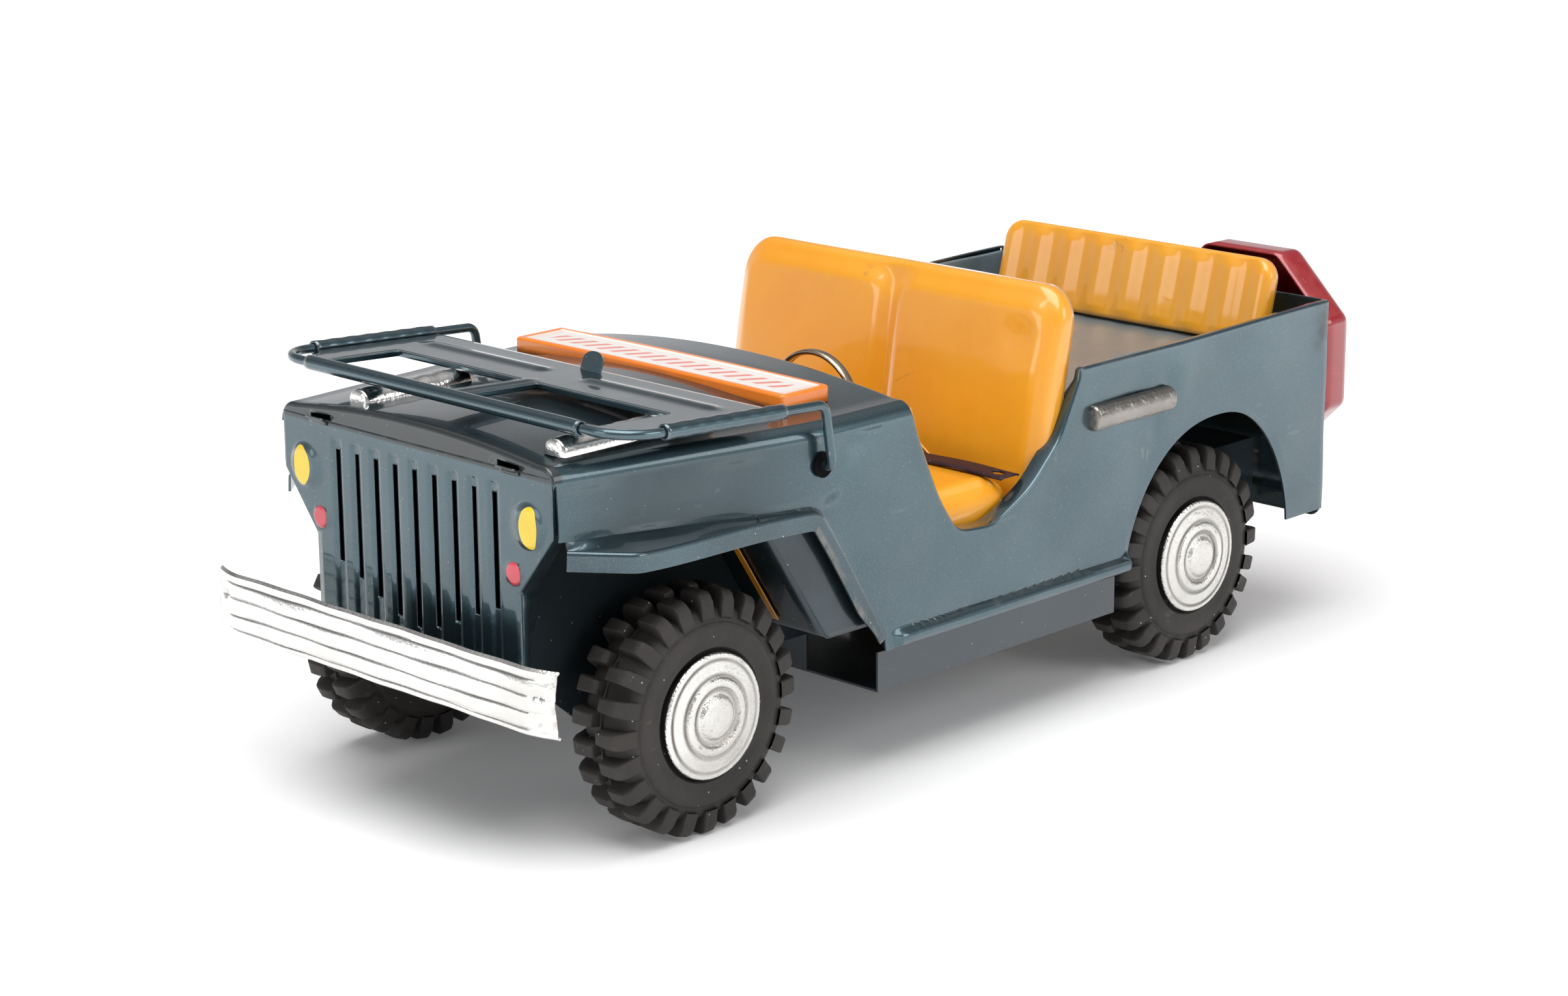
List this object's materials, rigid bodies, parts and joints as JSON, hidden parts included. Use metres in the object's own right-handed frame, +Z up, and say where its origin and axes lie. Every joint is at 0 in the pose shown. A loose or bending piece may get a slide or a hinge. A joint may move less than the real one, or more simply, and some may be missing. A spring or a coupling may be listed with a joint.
{
  "type": "friction tin car",
  "caption": "Pressed tinplate toy field car with an open body, folding windscreen, rubber-tyred wheels and a friction flywheel motor geared to the rear axle.",
  "frame": {"origin": "point on the floor under the middle of the car's length, on its centre plane", "axes": "+X forward, +Y to the car's left, +Z up"},
  "size_m": [0.2058, 0.087, 0.0749],
  "materials": {
    "body_paint": "metallic grey-blue enamel with flake, glossy",
    "seat_enamel": "glossy orange-yellow enamel",
    "sign_enamel": "glossy orange enamel with a white printed top",
    "red_enamel": "glossy dark red enamel",
    "chassis_paint": "dark grey enamel",
    "purple_enamel": "dark purple lacquer",
    "plated_tin": "bright tin plating with pitting",
    "dull_plate": "tarnished plating",
    "tyre_rubber": "matte dusty rubber",
    "hub_plastic": "moulded black",
    "bare_steel": "bare drawn and pressed steel",
    "gear_brass": "stamped brass",
    "flywheel_iron": "turned cast iron"
  },
  "bodies": {
    "car": {"body_shell": "body_paint", "cabin_floor": "seat_enamel", "chassis_pan": "chassis_paint", "dash_panel": "seat_enamel", "door_handle_left": "dull_plate", "door_handle_right": "dull_plate", "fender_left": "body_paint", "fender_right": "body_paint", "front_bumper": "plated_tin", "front_seat_back": "seat_enamel", "front_seat_cushion": "seat_enamel", "grille_panel": "body_paint", "hood_rest_left": "dull_plate", "hood_rest_right": "dull_plate", "motor_pillars": "bare_steel", "motor_plate_left": "bare_steel", "motor_plate_right": "bare_steel", "rear_deck": "body_paint", "rear_seat_back": "seat_enamel", "seat_strap": "purple_enamel", "sign_plate": "sign_enamel", "spare_cover": "red_enamel", "tailgate": "body_paint"},
    "windscreen": {"windscreen_frame": "body_paint", "windscreen_wire": "body_paint"},
    "steering": {"steering_wheel": "plated_tin", "steering_column": "bare_steel"},
    "front_wheels": {"axle_front": "bare_steel", "tyre_front_left": "tyre_rubber", "tyre_front_right": "tyre_rubber", "hub_front_left": "hub_plastic", "hub_front_right": "hub_plastic", "hub_cap_front_left": "plated_tin", "hub_cap_front_right": "plated_tin", "spacer_front_left": "bare_steel", "spacer_front_right": "bare_steel"},
    "rear_wheels": {"axle_rear": "bare_steel", "drive_gear": "gear_brass", "tyre_rear_left": "tyre_rubber", "tyre_rear_right": "tyre_rubber", "hub_rear_left": "hub_plastic", "hub_rear_right": "hub_plastic", "hub_cap_rear_left": "plated_tin", "hub_cap_rear_right": "plated_tin", "spacer_rear_left": "bare_steel", "spacer_rear_right": "bare_steel"},
    "idler": {"idler_shaft": "bare_steel", "idler_gear": "gear_brass", "idler_pinion": "gear_brass"},
    "flywheels": {"flywheel_shaft": "bare_steel", "flywheel_pinion": "gear_brass", "flywheel_left": "flywheel_iron", "flywheel_right": "flywheel_iron"}
  },
  "joints": [
    {"name": "windscreen_fold", "type": "hinge", "parent": "car", "child": "windscreen", "pos_m": [0.0426, 0, 0.056], "axis": [0, -1, 0], "range_deg": [0, 95]},
    {"name": "steering_spin", "type": "hinge", "parent": "car", "child": "steering", "pos_m": [0.0205, 0.0142, 0.0566], "axis": [1, 0, 0], "continuous": true},
    {"name": "front_axle_spin", "type": "hinge", "parent": "car", "child": "front_wheels", "pos_m": [0.0671, 0, 0.02], "axis": [0, 1, 0], "continuous": true},
    {"name": "rear_axle_spin", "type": "hinge", "parent": "car", "child": "rear_wheels", "pos_m": [-0.0557, 0, 0.02], "axis": [0, 1, 0], "continuous": true},
    {"name": "idler_spin", "type": "hinge", "parent": "car", "child": "idler", "pos_m": [-0.04477, 0, 0.0251], "axis": [0, 1, 0], "continuous": true},
    {"name": "flywheel_spin", "type": "hinge", "parent": "car", "child": "flywheels", "pos_m": [-0.03287, 0, 0.02943], "axis": [0, 1, 0], "continuous": true}
  ],
  "couplings": [
    {"joint": "idler_spin", "follows": "rear_axle_spin", "ratio": -3},
    {"joint": "flywheel_spin", "follows": "rear_axle_spin", "ratio": 9.6}
  ]
}
